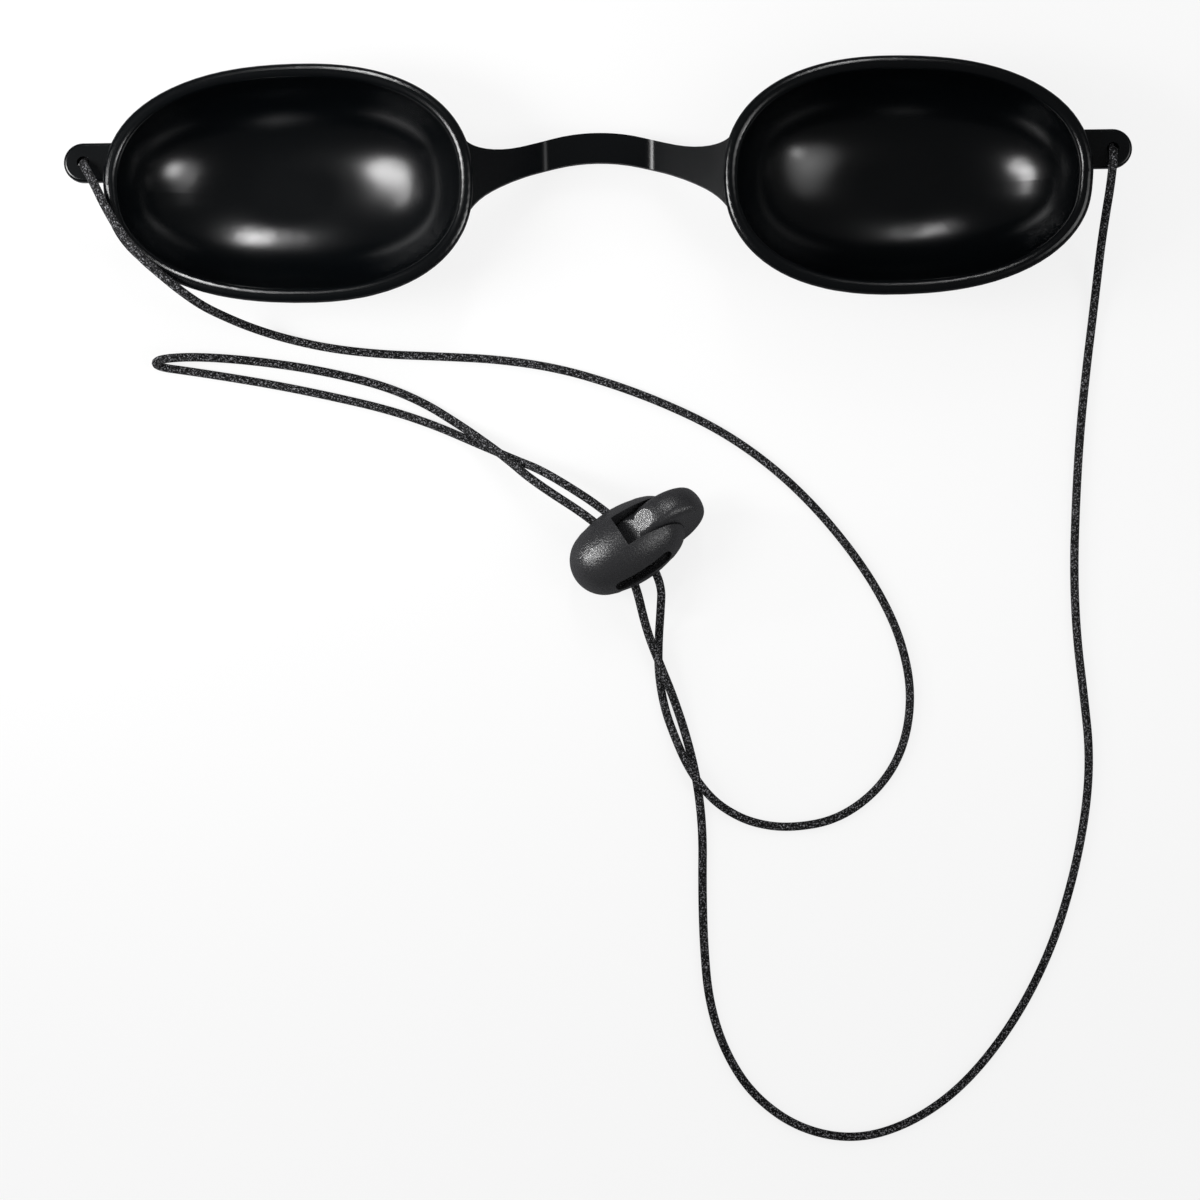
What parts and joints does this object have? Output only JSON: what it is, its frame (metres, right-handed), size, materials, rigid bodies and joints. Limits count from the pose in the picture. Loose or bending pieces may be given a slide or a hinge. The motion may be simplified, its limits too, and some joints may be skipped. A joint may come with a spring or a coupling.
{
  "type": "tanning goggles",
  "caption": "Opaque tanning goggles: oval eyecups joined by a nose bridge, with a round elastic head cord tied behind the end lugs and gathered in an egg-shaped spring cord lock.",
  "frame": {"origin": "on the table under the middle of the goggles, which lie on the fronts of their cups", "axes": "+X across the face to the right-hand cup, +Y up the face to the brow, +Z from the cup fronts to the wearer's face"},
  "size_m": [0.1454, 0.1491, 0.0173],
  "materials": {
    "gloss_black_plastic": "glossy",
    "elastic_cord": "woven",
    "lock_plastic": "matte",
    "spring_steel": "drawn wire"
  },
  "bodies": {
    "goggles": {"goggle_frame": "gloss_black_plastic", "knot_left": "elastic_cord", "knot_right": "elastic_cord", "cord_left": "elastic_cord", "cord_loop": "elastic_cord", "cord_right": "elastic_cord"},
    "lock": {"lock_shell": "lock_plastic", "lock_spring": "spring_steel"},
    "button": {"lock_button": "lock_plastic"}
  },
  "joints": [
    {"name": "lock_slide", "type": "slide", "parent": "goggles", "child": "lock", "axis": [-0.835, 0.5503, 0], "range_m": [0, 0.005]},
    {"name": "button_slide", "type": "slide", "parent": "lock", "child": "button", "axis": [-0.8462, -0.5329, 0], "range_m": [0, 0.002], "stiffness_N_per_m": 600, "springref_m": -0.002, "deforming": ["lock_spring"]}
  ]
}
